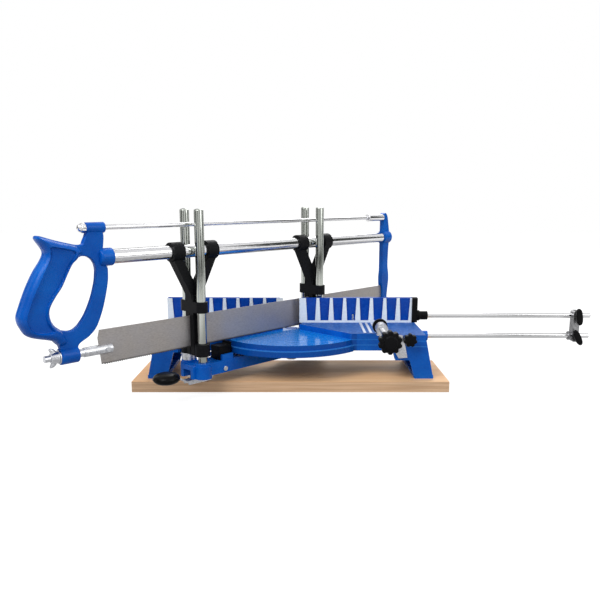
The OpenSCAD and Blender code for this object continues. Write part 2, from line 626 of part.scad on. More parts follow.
module wing_nut() color(plated) mitred() difference() {
    union() {
        translate([nut_s - wing_l, 0, stud_z]) rotate([0, 90, 0])
            cylinder(d1 = wing_r - 1, d2 = wing_r + 3, h = wing_l);
        for (k = [-1, 1]) across(-1.5, 3) translate([nut_s, stud_z]) polygon([[-1.4, 0], [-1.4, k * wing_r / 2],
            [-4.4, k * (wing_r - 2)], [-9.4, k * wing_r], [-13.4, k * (wing_r - 1)],
            [-13.4, k * (wing_r - 4)], [-9.4, 0]]);
    }
    bar_x(stud_d + 2 * run_gap, stud_end - eps, low_boss_s, 0, stud_z);
}

// work clamp
module clamp_bolt_places() for (p = [[leg_in - 7.5, bed_z - 5], [leg_in - 2.5, bed_z - 24]])
    translate([p[0], 0, p[1]]) children();
module clamp_bracket() color(plated) difference() {
    union() {
        across(leg_y - 4, 4) polygon([[clamp_x - 4, clamp_z - 8], [leg_in - 12, bed_z + 2],
            [leg_in - 1, bed_z], [leg_in + 6, bed_z - 33], [leg_in - 7, bed_z - 34],
            [leg_in - 16, bed_z - 18], [clamp_x + 4, clamp_z - 16], [clamp_x - 6, clamp_z - 11]]);
        bar_y(clamp_d + 9, clamp_x, clamp_z, barrel_y0, barrel_y1);
        across(barrel_y0 + 2, barrel_y1 - barrel_y0 - 2) polygon([[clamp_x - 3, clamp_z - 4],
            [clamp_x + 5, clamp_z - 4], [clamp_x + 9, clamp_z - 17], [clamp_x + 4, clamp_z - 15],
            [clamp_x - 4, clamp_z - 10]]);
    }
    bar_y(clamp_d + 2 * run_gap, clamp_x, clamp_z, barrel_y0 - eps, barrel_y1 + eps);
    clamp_bolt_places() bar_y(screw_d + 1 + 2 * run_gap, 0, 0, leg_y - 6, leg_y + eps);
}
module clamp_bolts() color(plated) clamp_bolt_places() {
    bar_y(screw_d + 1, 0, 0, leg_y - 4, leg_y + 11);
    translate([0, leg_y - 4, 0]) rotate([90, 0, 0]) cylinder(d = 9.5, h = 3.5, $fn = 6);
}
module clamp_foot() color(black) difference() {
    union() {
        bar_y(foot_d, clamp_x, clamp_z, foot_y - 4, foot_y);
        bar_y(14, clamp_x, clamp_z, foot_y - 8, foot_y - 4);
    }
    bar_y(clamp_d + 2 * run_gap, clamp_x, clamp_z, foot_y - 9, foot_y - 3);
}
module clamp_screw() color(plated) {
    bar_y(clamp_d, clamp_x, clamp_z, leg_y - 100, foot_y - 3);
}
module clamp_knob() color(black) difference() {
    union() {
        translate([clamp_x, leg_y - 90, clamp_z]) rotate([90, 0, 0]) linear_extrude(14) lobed(knob_d, 10, 4.5);
        bar_y(15, clamp_x, clamp_z, leg_y - 90, leg_y - 86);
        bar_y(17, clamp_x, clamp_z, leg_y - 106, leg_y - 103);
    }
    bar_y(clamp_d + 2 * run_gap, clamp_x, clamp_z, leg_y - 100, leg_y - 80);
}
module clamp_lock_knob() color(black) {
    translate([lock_x, leg_y - 6, lock_z]) rotate([90, 0, 0]) linear_extrude(10) lobed(20, 7, 3.5);
    bar_y(10, lock_x, lock_z, leg_y - 7, leg_y);
    bar_y(6, lock_x, lock_z, leg_y - 1, leg_y + 12);
}

// length stop
module stop_bar() color(plated) difference() {
    union() {
        across(rod_y - 7, 14) polygon([[stop_x - 5, rod_low_z - 7], [stop_x - 3, rod_low_z - 9],
            [stop_x + 3, rod_low_z - 9], [stop_x + 5, rod_low_z - 7], [stop_x + 5, rod_top_z + 6],
            [stop_x + 3, rod_top_z + 8], [stop_x - 3, rod_top_z + 8], [stop_x - 5, rod_top_z + 6]]);
        bar_x(rod_d + 6, stop_x - 10, stop_x, rod_y, rod_low_z);
    }
    for (z = [rod_top_z, rod_low_z]) {
        bar_x(rod_d + 2 * run_gap, stop_x - 12, stop_x + 9, rod_y, z);
        bar_y(5 + 2 * run_gap, stop_x, z, rod_y - 12, rod_y);
    }
}
module stop_screw(z, turn) color(black) {
    bar_y(5, stop_x, z, rod_y - 14, rod_y - rod_d / 2 - slide_gap);
    bar_y(10, stop_x, z, rod_y - 15, rod_y - 7);
    translate([stop_x, rod_y - 13, z]) rotate([90, 0, 0]) rotate(turn) linear_extrude(6) {
        for (k = [-1, 1]) translate([k * 8.5, 0]) circle(d = 10);
        translate([-8.5, -4]) square([17, 8]);
    }
}
module stop_screw_upper() stop_screw(rod_top_z, 98);
module stop_screw_lower() stop_screw(rod_low_z, 116);

base_board();
base_casting();
board_screws();
fence_left();
fence_right();
fence_screws();
fence_end_cap();
rod_bush();
upper_stop_rod();
lower_stop_rod();
rod_set_screws();
pivot_bolt();
pivot_washer();
pivot_nut();
clamp_bracket();
clamp_bolts();
swing_arm();
post_front_near();
post_front_far();
post_rear_near();
post_rear_far();
post_bolts();
collar_front();
collar_rear();
lever_pin();
index_lever();
lever_pad();
index_pawl();
front_carriage();
rear_carriage();
saw_handle();
saw_tube();
tension_rod();
rod_dome_nut();
rod_sleeve_nut();
far_arm();
blade();
blade_holder();
holder_pin();
far_pin();
stud_washer();
frame_screws();
wing_nut();
clamp_foot();
clamp_screw();
clamp_knob();
clamp_lock_knob();
stop_bar();
stop_screw_upper();
stop_screw_lower();
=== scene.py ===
# %% [markdown]
# # A manual mitre saw on its wooden board
# The measured solids come first, as a fixed frame that nothing below may move. Every piece made here
# sits in the same metres and rides on one of the bodies of that frame, so it turns and slides with it.

# %% Load the frame and keep its box
import bpy
import bmesh
import math
import numpy as np
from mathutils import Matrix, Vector


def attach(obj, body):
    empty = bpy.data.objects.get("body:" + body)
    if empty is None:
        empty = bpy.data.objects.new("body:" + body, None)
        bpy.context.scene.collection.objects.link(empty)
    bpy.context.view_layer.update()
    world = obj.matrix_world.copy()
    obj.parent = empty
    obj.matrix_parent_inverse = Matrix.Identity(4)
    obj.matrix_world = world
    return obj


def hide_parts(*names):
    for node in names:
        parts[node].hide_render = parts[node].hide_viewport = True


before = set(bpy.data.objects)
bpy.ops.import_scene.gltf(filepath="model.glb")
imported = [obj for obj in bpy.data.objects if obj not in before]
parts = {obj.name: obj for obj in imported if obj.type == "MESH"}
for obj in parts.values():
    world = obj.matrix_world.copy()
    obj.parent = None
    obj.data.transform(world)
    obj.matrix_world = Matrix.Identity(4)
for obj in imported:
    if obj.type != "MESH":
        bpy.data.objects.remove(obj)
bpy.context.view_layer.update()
scene = bpy.context.scene

# %% [markdown]
# ## The camera
# The picture was taken from a little above the fence, with the board's front edge level. A lens of
# about 37 mm on a 36 mm sensor gives the same narrowing towards the far post pair. The small upward
# shift stands for the cropping of the picture; a tilt could move the saw in the frame as well, but it
# would make the posts lean.

# %% Camera
look_down = 10.62
scene.view_settings.view_transform = "Standard"
camera_data = bpy.data.cameras.new("photo_camera")
camera_data.sensor_width = 36.0
camera_data.lens = 37.2
camera_data.shift_y = 0.0237
camera = bpy.data.objects.new("photo_camera", camera_data)
camera.location = (0.014, -0.9823, 0.2799)
camera.rotation_euler = (math.radians(90.0 - look_down), 0.0, 0.0)
scene.collection.objects.link(camera)
scene.camera = camera
print("camera at", tuple(camera.location), "looking down", look_down, "degrees")

# %% [markdown]
# ## The studio
# The saw stands on a white ground in soft light. The world gives even light, and what the camera or a
# mirror surface sees of it is plain white. One strength could not do both, so the shader asks each ray
# whether it is looking or carrying light.

# %% Node helpers
def put(tree, kind, **values):
    """One shader node; values are its input sockets by name (spaces written as underscores)."""
    node = tree.nodes.new(kind)
    for name, value in values.items():
        node.inputs[name.replace("_", " ")].default_value = value
    return node


def seen_directly(tree):
    """1 for camera, mirror and clear rays, 0 for the rays that carry light: the three flags added up."""
    path = tree.nodes.new("ShaderNodeLightPath")
    first = tree.nodes.new("ShaderNodeMath")
    second = tree.nodes.new("ShaderNodeMath")
    second.use_clamp = True
    tree.links.new(path.outputs["Is Camera Ray"], first.inputs[0])
    tree.links.new(path.outputs["Is Glossy Ray"], first.inputs[1])
    tree.links.new(first.outputs[0], second.inputs[0])
    tree.links.new(path.outputs["Is Transmission Ray"], second.inputs[1])
    return second.outputs[0]


# %% World light
even_light = 0.5
world = bpy.data.worlds.new("studio")
scene.world = world
world.use_nodes = True
tree = world.node_tree
tree.nodes.clear()
even = put(tree, "ShaderNodeBackground", Color=(1.0, 1.0, 1.0, 1.0), Strength=even_light)
white = put(tree, "ShaderNodeBackground", Color=(1.0, 1.0, 1.0, 1.0), Strength=1.0)
choose = tree.nodes.new("ShaderNodeMixShader")
output = tree.nodes.new("ShaderNodeOutputWorld")
tree.links.new(seen_directly(tree), choose.inputs[0])
tree.links.new(even.outputs[0], choose.inputs[1])
tree.links.new(white.outputs[0], choose.inputs[2])
tree.links.new(choose.outputs[0], output.inputs["Surface"])
print("world: even light", even_light, "and white where it is seen")

# %% [markdown]
# ### Sweep
# A studio sweep is white paper under the object. Here it is a plane that takes shadows and glows where
# it is seen, so that it is as white as the world behind it. Bright plated bars need something darker to
# mirror, or they would look like paper too, so mirror rays see the sweep greyer near the saw than far
# away.

# %% Floor
reach = 4.0
floor_mesh = bpy.data.meshes.new("floor")
floor_mesh.from_pydata([(-reach, -reach, 0), (reach, -reach, 0), (reach, reach, 0), (-reach, reach, 0)],
                       [], [(0, 1, 2, 3)])
floor = bpy.data.objects.new("floor", floor_mesh)
floor.location.z = -0.0004
scene.collection.objects.link(floor)
print("floor:", 2 * reach, "m square")

# %% Floor finish
seen_glow = 0.85
mirror_glow = 0.22
grey_until, white_from = 0.45, 0.75
floor_finish = bpy.data.materials.new("white_sweep")
floor_finish.use_nodes = True
tree = floor_finish.node_tree
tree.nodes.clear()
matt = put(tree, "ShaderNodeBsdfDiffuse", Color=(0.32, 0.32, 0.32, 1.0))
glow = put(tree, "ShaderNodeEmission", Color=(1.0, 1.0, 1.0, 1.0))
place = tree.nodes.new("ShaderNodeTexCoord")
distance = tree.nodes.new("ShaderNodeVectorMath")
distance.operation = "LENGTH"
mirrored = put(tree, "ShaderNodeMapRange", From_Min=grey_until, From_Max=white_from, To_Min=mirror_glow,
               To_Max=seen_glow)
path = tree.nodes.new("ShaderNodeLightPath")
level = put(tree, "ShaderNodeMapRange", From_Min=0.0, From_Max=1.0, To_Min=seen_glow)
share = tree.nodes.new("ShaderNodeMath")
share.operation = "MULTIPLY"
both = tree.nodes.new("ShaderNodeAddShader")
output = tree.nodes.new("ShaderNodeOutputMaterial")
tree.links.new(place.outputs["Object"], distance.inputs[0])
tree.links.new(distance.outputs["Value"], mirrored.inputs["Value"])
tree.links.new(path.outputs["Is Glossy Ray"], level.inputs["Value"])
tree.links.new(mirrored.outputs["Result"], level.inputs["To Max"])
tree.links.new(seen_directly(tree), share.inputs[0])
tree.links.new(level.outputs["Result"], share.inputs[1])
tree.links.new(share.outputs[0], glow.inputs["Strength"])
tree.links.new(matt.outputs[0], both.inputs[0])
tree.links.new(glow.outputs[0], both.inputs[1])
tree.links.new(both.outputs[0], output.inputs["Surface"])
floor_mesh.materials.append(floor_finish)
print("floor glow", seen_glow, "and", mirror_glow, "in mirrors near the saw")

# %% [markdown]
# ### Lamps
# Three large square lamps, as in a product studio: a key from the left front, a weak fill from the
# right, and one behind that draws a bright line along the top edges. Small lamps would give hard
# shadows; these are over a metre wide, so theirs are soft.

# %% Lamps
lamp_aim = Vector((0.0, 0.0, 0.1))
lamp_side = 1.2


def lamp(name, place, watts):
    """A square area lamp at a place, its face turned to the middle of the saw."""
    data = bpy.data.lights.new(name, "AREA")
    data.size = lamp_side
    data.energy = watts
    made = bpy.data.objects.new(name, data)
    made.location = place
    made.rotation_euler = (lamp_aim - Vector(place)).to_track_quat("-Z", "Y").to_euler()
    scene.collection.objects.link(made)
    return made


key_lamp = lamp("key_lamp", (-0.9, -1.3, 1.7), 26.0)
fill_lamp = lamp("fill_lamp", (1.5, -1.1, 1.0), 10.0)
rear_lamp = lamp("rear_lamp", (0.3, 1.6, 1.5), 14.0)
print("lamps:", key_lamp.name, fill_lamp.name, rear_lamp.name)

# %% [markdown]
# ### Dark cards
# A photographer stands dark cards round bright metal, so that its curves show as dark and light lines.
# A painted backdrop could do this too, but it would darken the ground. Each card is a strip of a
# cylinder wall, and only mirror rays see it.

# %% Dark cards
card_finish = bpy.data.materials.new("dark_card")
card_finish.use_nodes = True
card_shader = card_finish.node_tree.nodes["Principled BSDF"]
card_shader.inputs["Base Color"].default_value = (0.05, 0.055, 0.05, 1.0)
card_shader.inputs["Roughness"].default_value = 0.9


def dark_card(name, bearing, width, low, high, distance=2.2, columns=9):
    """An upright card: points at one distance round the saw between two bearings, at two heights."""
    turn = np.radians(bearing + np.linspace(-width / 2, width / 2, columns))
    rim = np.stack((distance * np.sin(turn), -distance * np.cos(turn)), axis=-1)
    points = np.concatenate((np.c_[rim, np.full(columns, low)], np.c_[rim, np.full(columns, high)]))
    step = np.arange(columns - 1)
    faces = np.stack((step, step + 1, step + columns + 1, step + columns), axis=-1)
    mesh = bpy.data.meshes.new(name)
    mesh.from_pydata(points.tolist(), [], faces.tolist())
    card = bpy.data.objects.new(name, mesh)
    scene.collection.objects.link(card)
    card.visible_camera = False
    card.visible_diffuse = False
    card.visible_shadow = False
    card.visible_transmission = False
    mesh.materials.append(card_finish)


card_places = ((-62, 26), (-14, 12), (38, 22), (96, 24), (150, 18), (205, 22), (255, 24))
for number, (bearing, width) in enumerate(card_places):
    dark_card(f"dark_card_{number}", bearing, width, 0.02, 1.6)
dark_card("low_card", 0.0, 150.0, 0.05, 0.22, 1.9)
print("cards:", len(card_places), "upright, one low")

# %% [markdown]
# ## Finishes
# Each finish is written from the object's own coordinates, so a pattern stays on the metal when a piece
# moves. A finish starts as a plain shader, and then gets what the real surface shows: a slow drift of
# tone, a fine grain in the gloss, and a small bump.

# %% Finish helpers
def finish(name, colour, roughness, metallic=0.0):
    """A new finish with its shader set to plain values: colour, roughness and share of metal."""
    made = bpy.data.materials.new(name)
    made.use_nodes = True
    shader = made.node_tree.nodes["Principled BSDF"]
    shader.inputs["Base Color"].default_value = (*colour, 1.0)
    shader.inputs["Roughness"].default_value = roughness
    shader.inputs["Metallic"].default_value = metallic
    return made, made.node_tree, shader


def spots(tree, scale, detail=3.0, stretch=(1.0, 1.0, 1.0), turn=0.0):
    """Soft random values between 0 and 1 in metres of the object, drawn out along an axis by stretch."""
    place = tree.nodes.new("ShaderNodeTexCoord")
    mapping = tree.nodes.new("ShaderNodeMapping")
    mapping.inputs["Scale"].default_value = stretch
    mapping.inputs["Rotation"].default_value = (0.0, 0.0, math.radians(turn))
    noise = put(tree, "ShaderNodeTexNoise", Scale=scale, Detail=detail)
    tree.links.new(place.outputs["Object"], mapping.inputs["Vector"])
    tree.links.new(mapping.outputs["Vector"], noise.inputs["Vector"])
    return noise.outputs["Fac"]


def between(tree, value, low, high, to_low, to_high):
    """A value read off a straight line: low gives to_low, high gives to_high, and it stops at both ends."""
    node = put(tree, "ShaderNodeMapRange", From_Min=low, From_Max=high, To_Min=to_low, To_Max=to_high)
    tree.links.new(value, node.inputs["Value"])
    return node.outputs["Result"]


def tint(tree, share, first, second):
    """Two colours mixed by a share; each may be a colour or another node's colour."""
    node = tree.nodes.new("ShaderNodeMix")
    node.data_type = "RGBA"
    tree.links.new(share, node.inputs["Factor"])
    for socket, colour in ((node.inputs[6], first), (node.inputs[7], second)):
        if isinstance(colour, tuple):
            socket.default_value = (*colour, 1.0)
        else:
            tree.links.new(colour, socket)
    return node.outputs[2]


def relief(tree, shader, height, depth, strength):
    """A bump on the shader: the height value times a depth in metres."""
    node = put(tree, "ShaderNodeBump", Strength=strength, Distance=depth)
    tree.links.new(height, node.inputs["Height"])
    tree.links.new(node.outputs["Normal"], shader.inputs["Normal"])


# %% [markdown]
# ### Blue enamel
# The castings are sprayed with a thick gloss blue. Sprayed enamel is never quite even: it drifts in
# tone and has the slight waviness that painters call orange peel. A picture of paint could be wrapped
# round a casting, but it would show seams. Soft spots worked out in space have none: large ones give the
# drift, small ones the peel.

# %% Blue enamel
deep_blue = (0.0012, 0.088, 0.465)
clear_blue = (0.0018, 0.132, 0.60)


def enamel_nodes(tree):
    """Colour, roughness and waviness of the enamel as three node values."""
    colour = tint(tree, between(tree, spots(tree, 26.0, 4.0), 0.35, 0.65, 0.0, 1.0), deep_blue, clear_blue)
    roughness = between(tree, spots(tree, 120.0, 4.0), 0.3, 0.7, 0.2, 0.34)
    return colour, roughness, spots(tree, 520.0, 2.0)


blue_enamel, tree, shader = finish("blue_enamel", clear_blue, 0.27)
colour, roughness, wave = enamel_nodes(tree)
tree.links.new(colour, shader.inputs["Base Color"])
tree.links.new(roughness, shader.inputs["Roughness"])
relief(tree, shader, wave, 0.00022, 0.35)
shader.inputs["Specular IOR Level"].default_value = 0.16
print("finish:", blue_enamel.name)

# %% [markdown]
# ### Bed of the base
# On the bed the enamel is left rough from the cast skin, with pale specks where work has rubbed it.
# Three low strips on each wing are milled bare. The quadrant's floor is flooded with enamel and shines
# like wet paint, so it mirrors the fence; its blue is also painted lighter, as a painted reflection.
# Round its rim the blue is darker, a painted shade, and on the ledge below it a pale line is a painted
# highlight. Masks could be painted for these, but height above the board and distance from the swing
# axis already tell them apart.

# %% Helpers for zones
def axis_value(tree, axis):
    """The object's own X, Y or Z, in metres."""
    place = tree.nodes.new("ShaderNodeTexCoord")
    split = tree.nodes.new("ShaderNodeSeparateXYZ")
    tree.links.new(place.outputs["Object"], split.inputs[0])
    return split.outputs[axis]


def axis_distance(tree):
    """The distance from the swing axis, in metres: the length of X and Y taken together."""
    place = tree.nodes.new("ShaderNodeTexCoord")
    flat = tree.nodes.new("ShaderNodeVectorMath")
    flat.operation = "MULTIPLY"
    flat.inputs[1].default_value = (1.0, 1.0, 0.0)
    length = tree.nodes.new("ShaderNodeVectorMath")
    length.operation = "LENGTH"
    tree.links.new(place.outputs["Object"], flat.inputs[0])
    tree.links.new(flat.outputs[0], length.inputs[0])
    return length.outputs["Value"]


def blend(tree, share, first, second):
    """Two numbers mixed by a share: first + share * (second - first); each may be a node's value."""
    node = tree.nodes.new("ShaderNodeMix")
    tree.links.new(share, node.inputs["Factor"])
    for socket, value in ((node.inputs[2], first), (node.inputs[3], second)):
        if isinstance(value, float):
            socket.default_value = value
        else:
            tree.links.new(value, socket)
    return node.outputs[0]


def band(tree, value, start, stop, full=1.0):
    """A share that rises from 0 to full over the pair start, times one that falls to 0 over the pair stop."""
    rise = between(tree, value, *start, 0.0, full)
    fall = between(tree, value, *stop, 1.0, 0.0)
    return blend(tree, fall, 0.0, rise)


# %% Where the paints and the painted light lie on the base
bed_from = (0.08172, 0.08192)
strip_from = (0.08225, 0.0824)
floor_from, floor_to = (0.07265, 0.07285), (0.07325, 0.0736)
ledge_from, ledge_to = (0.0638, 0.0645), (0.0650, 0.0654)
rim_from, rim_to = (0.1230, 0.1236), (0.1284, 0.1292)
worn_blue, speck_blue = (0.012, 0.085, 0.36), (0.065, 0.21, 0.60)
# The darker blue round the rim is painted shade, a dark line along its edge.
painted_rim_shade = (0.0008, 0.072, 0.37)
# The pale blue on the ledge is a painted highlight, a bright line along its top.
painted_ledge_highlight = (0.05, 0.29, 0.80)
# The lighter, greener blue of the quadrant's floor is its enamel with a painted reflection in it.
floor_blue_and_painted_reflection = (0.006, 0.225, 0.77)
milled_metal = (0.72, 0.77, 0.86)
print("bed from", bed_from, "m, floor of the quadrant from", floor_from, "m")

# %% Base finish
base_enamel, tree, shader = finish("base_enamel", clear_blue, 0.3)
colour, roughness, wave = enamel_nodes(tree)
height = axis_value(tree, 2)
bed_face = between(tree, height, *bed_from, 0.0, 1.0)
strip_face = between(tree, height, *strip_from, 0.0, 1.0)
floor_face = band(tree, height, floor_from, floor_to)
ledge_highlight_share = band(tree, height, ledge_from, ledge_to, 0.6)
rim_shade_share = band(tree, axis_distance(tree), rim_from, rim_to)
cast_skin = spots(tree, 420.0, 3.0)
bed_blue = tint(tree, between(tree, cast_skin, 0.47, 0.66, 0.0, 1.0), worn_blue, speck_blue)
# Rim: painted shade. Ledge: painted highlight. Floor: blue with a painted reflection.
for share, overlay in ((rim_shade_share, painted_rim_shade), (ledge_highlight_share, painted_ledge_highlight), (floor_face, floor_blue_and_painted_reflection),
                    (bed_face, bed_blue), (strip_face, milled_metal)):
    colour = tint(tree, share, colour, overlay)
tree.links.new(colour, shader.inputs["Base Color"])
tree.links.new(blend(tree, bed_face, roughness, 0.55), shader.inputs["Roughness"])
tree.links.new(between(tree, strip_face, 0.0, 1.0, 0.0, 0.5), shader.inputs["Metallic"])
tall = blend(tree, bed_face, between(tree, wave, 0.0, 1.0, 0.0, 0.25), cast_skin)
relief(tree, shader, tall, 0.0006, 0.5)
tree.links.new(between(tree, floor_face, 0.0, 1.0, 0.0, 0.55), shader.inputs["Coat Weight"])
shader.inputs["Coat Roughness"].default_value = 0.08
shader.inputs["Specular IOR Level"].default_value = 0.2
print("finish:", base_enamel.name)

# %% [markdown]
# ### Fence
# The fence is painted all over and then ground, so its front plane is bare metal while the sunk panels
# stay blue. Faces could be picked one by one for two finishes. It is simpler to let the distance behind
# the front plane decide, with a thin soft edge where the grinding stops.

# %% Fence finish
paint_from = (0.00025, 0.0006)
ground_fence, tree, shader = finish("ground_fence", (0.8, 0.83, 0.9), 0.4)
_, roughness, wave = enamel_nodes(tree)
painted = between(tree, axis_value(tree, 1), *paint_from, 0.0, 1.0)
scratch = spots(tree, 160.0, 4.0, (0.12, 1.0, 6.0))
bare = tint(tree, between(tree, scratch, 0.3, 0.7, 0.0, 1.0), (0.82, 0.91, 0.98), (0.92, 0.97, 1.0))
drift = between(tree, spots(tree, 60.0, 3.0), 0.3, 0.7, 0.0, 1.0)
panel_blue = tint(tree, drift, (0.0015, 0.052, 0.36), (0.002, 0.07, 0.43))
tree.links.new(tint(tree, painted, bare, panel_blue), shader.inputs["Base Color"])
bare_rough = between(tree, scratch, 0.2, 0.8, 0.3, 0.5)
tree.links.new(blend(tree, painted, bare_rough, roughness), shader.inputs["Roughness"])
tree.links.new(between(tree, painted, 0.0, 1.0, 0.1, 0.0), shader.inputs["Metallic"])
relief(tree, shader, blend(tree, painted, scratch, wave), 0.00012, 0.4)
shader.inputs["Specular IOR Level"].default_value = 0.18
print("finish:", ground_fence.name)

# %% [markdown]
# ### Bright and zinc plating
# The posts, tube and rods are polished and chromed; fasteners and collars have the duller zinc, and the
# stop bar is plain dull steel. Drawn bar keeps faint lines along its length, so the grain is stretched,
# and the zinc gets a fine spangle. Each could be a finish of its own, but they differ only in tone, gloss
# and grain, so one function makes them all.

# %% Plated finishes
def plated(name, light, dark, rough_low, rough_high, scale, stretch=(1.0, 1.0, 1.0), turn=0.0):
    """Plated metal: two close greys and a narrow range of roughness, both following the same spots."""
    made, tree, shader = finish(name, light, rough_low, 1.0)
    grain = spots(tree, scale, 4.0, stretch, turn)
    share = between(tree, grain, 0.3, 0.7, 0.0, 1.0)
    tree.links.new(tint(tree, share, light, dark), shader.inputs["Base Color"])
    tree.links.new(between(tree, grain, 0.3, 0.7, rough_low, rough_high), shader.inputs["Roughness"])
    relief(tree, shader, grain, 0.00003, 0.25)
    return made


post_chrome = plated("post_chrome", (0.47, 0.49, 0.46), (0.40, 0.42, 0.385), 0.1, 0.2, 300.0,
                     (1.0, 1.0, 0.03))
rod_chrome = plated("rod_chrome", (0.80, 0.80, 0.81), (0.72, 0.72, 0.73), 0.1, 0.2, 300.0, (0.03, 1.0, 1.0))
frame_chrome = plated("frame_chrome", (0.77, 0.77, 0.78), (0.66, 0.66, 0.68), 0.08, 0.18, 300.0,
                      (0.03, 1.0, 1.0), -45.0)
dull_steel = plated("dull_steel", (0.36, 0.36, 0.37), (0.24, 0.24, 0.25), 0.3, 0.45, 260.0)
bright_zinc = plated("bright_zinc", (0.74, 0.75, 0.78), (0.56, 0.57, 0.60), 0.22, 0.4, 260.0)
print("finishes:", post_chrome.name, rod_chrome.name, frame_chrome.name, bright_zinc.name, dull_steel.name)

# %% [markdown]
# ### Ground blade
# The blade is ground along its length, so the scratches run that way, and it has a warm grey tone. The
# teeth are darker from hardening, so the lowest few millimetres carry that tone. Scratches could be cut
# into the mesh, but a stretched noise in tone, gloss and bump shows the same with far fewer faces.

# %% Blade finish
teeth_to = (0.0762, 0.0785)
ground_blade, tree, shader = finish("ground_blade", (0.36, 0.35, 0.34), 0.4, 0.7)
scratch = spots(tree, 700.0, 5.0, (0.02, 0.6, 1.6), -45.0)
cloud = spots(tree, 30.0, 3.0)
steel = tint(tree, between(tree, scratch, 0.3, 0.7, 0.0, 1.0), (0.33, 0.304, 0.284), (0.48, 0.446, 0.422))
steel = tint(tree, between(tree, cloud, 0.35, 0.7, 0.0, 0.3), steel, (0.35, 0.37, 0.47))
teeth = between(tree, axis_value(tree, 2), *teeth_to, 1.0, 0.0)
tree.links.new(tint(tree, teeth, steel, (0.05, 0.048, 0.046)), shader.inputs["Base Color"])
tree.links.new(between(tree, scratch, 0.25, 0.75, 0.32, 0.5), shader.inputs["Roughness"])
relief(tree, shader, scratch, 0.00004, 0.3)
print("finish:", ground_blade.name)

# %% [markdown]
# ### Black parts
# The carriages are black castings with a fine sandy skin. The knobs, pad, cap and bush are moulded and
# a bit shinier. Both are near black with a small lift in tone, because a pure black would lose every
# edge.

# %% Black finishes
def black(name, colour, lift, rough_low, rough_high, scale, depth):
    """A near-black skin: tone, gloss and bump all follow one fine grain."""
    made, tree, shader = finish(name, colour, rough_low)
    grain = spots(tree, scale, 4.0)
    share = between(tree, grain, 0.35, 0.7, 0.0, 1.0)
    tree.links.new(tint(tree, share, colour, lift), shader.inputs["Base Color"])
    tree.links.new(between(tree, grain, 0.3, 0.7, rough_low, rough_high), shader.inputs["Roughness"])
    relief(tree, shader, grain, depth, 0.4)
    shader.inputs["Specular IOR Level"].default_value = 0.09
    return made


black_casting = black("black_casting", (0.004, 0.0042, 0.005), (0.010, 0.0105, 0.0125), 0.36, 0.52, 700.0,
                      0.0003)
moulded_black = black("moulded_black", (0.002, 0.002, 0.0024), (0.005, 0.005, 0.006), 0.24, 0.38, 900.0,
                      0.0001)
print("finishes:", black_casting.name, moulded_black.name)

# %% [markdown]
# ### Wooden board
# The board is a pale veneered sheet: long fibres run along the fence on its face, and its edge shows
# thin layers. A picture of wood could be laid on, but it would repeat and end at the edges. Here the long
# fibres are spots stretched far along X, and the layers are spots stretched along X and Y, so they follow
# Z alone.

# %% Wood finish
face_from = (0.0152, 0.0157)
board_wood, tree, shader = finish("board_wood", (0.62, 0.41, 0.24), 0.55)
fibre = spots(tree, 220.0, 5.0, (0.03, 1.0, 1.0))
figure = spots(tree, 36.0, 3.0, (0.06, 1.0, 0.3))
layer = spots(tree, 420.0, 2.0, (0.02, 0.02, 1.0))
face = tint(tree, between(tree, figure, 0.3, 0.7, 0.0, 1.0), (0.90, 0.50, 0.24), (0.98, 0.63, 0.34))
face = tint(tree, between(tree, fibre, 0.35, 0.75, 0.0, 0.5), face, (0.72, 0.38, 0.165))
side = tint(tree, between(tree, layer, 0.35, 0.65, 0.0, 1.0), (0.65, 0.41, 0.24), (0.85, 0.58, 0.37))
side = tint(tree, between(tree, fibre, 0.4, 0.8, 0.0, 0.4), side, (0.55, 0.32, 0.17))
on_face = between(tree, axis_value(tree, 2), *face_from, 0.0, 1.0)
tree.links.new(tint(tree, on_face, side, face), shader.inputs["Base Color"])
tree.links.new(between(tree, fibre, 0.2, 0.8, 0.42, 0.65), shader.inputs["Roughness"])
relief(tree, shader, fibre, 0.0002, 0.3)
print("finish:", board_wood.name)

# %% [markdown]
# ## Dressing the solids that stay
# Castings, fence, blade and most fasteners already have the right form in the measured solids. Their
# loose triangles are joined for the eye with Weld, flat faces are made whole again with a planar
# Decimate, and Bevel rounds the sharp edges so that they catch light, as a cast or filed edge does.
# Weighted normals keep the large flats evenly lit up to the rounded edge. None of them touches the
# solid.

# %% Dress the solids
def dress(names, material, edge, angle=35.0, segments=3):
    """Solids get a finish; triangles joined, flats made whole, sharp edges rounded by edge millimetres."""
    for name in names:
        piece = parts[name]
        piece.data.materials.clear()
        piece.data.materials.append(material)
        weld = piece.modifiers.new("join", "WELD")
        weld.merge_threshold = 0.00002
        whole = piece.modifiers.new("whole_flats", "DECIMATE")
        whole.decimate_type = "DISSOLVE"
        whole.angle_limit = math.radians(1.0)
        bevel = piece.modifiers.new("soft_edge", "BEVEL")
        bevel.width = edge / 1000.0
        bevel.segments = segments
        bevel.limit_method = "ANGLE"
        bevel.angle_limit = math.radians(angle)
        flat = piece.modifiers.new("flat_light", "WEIGHTED_NORMAL")
        flat.keep_sharp = True
        piece.data.polygons.foreach_set("use_smooth", np.ones(len(piece.data.polygons), bool))
        piece.data.set_sharp_from_angle(angle=math.radians(angle))
    return len(names)


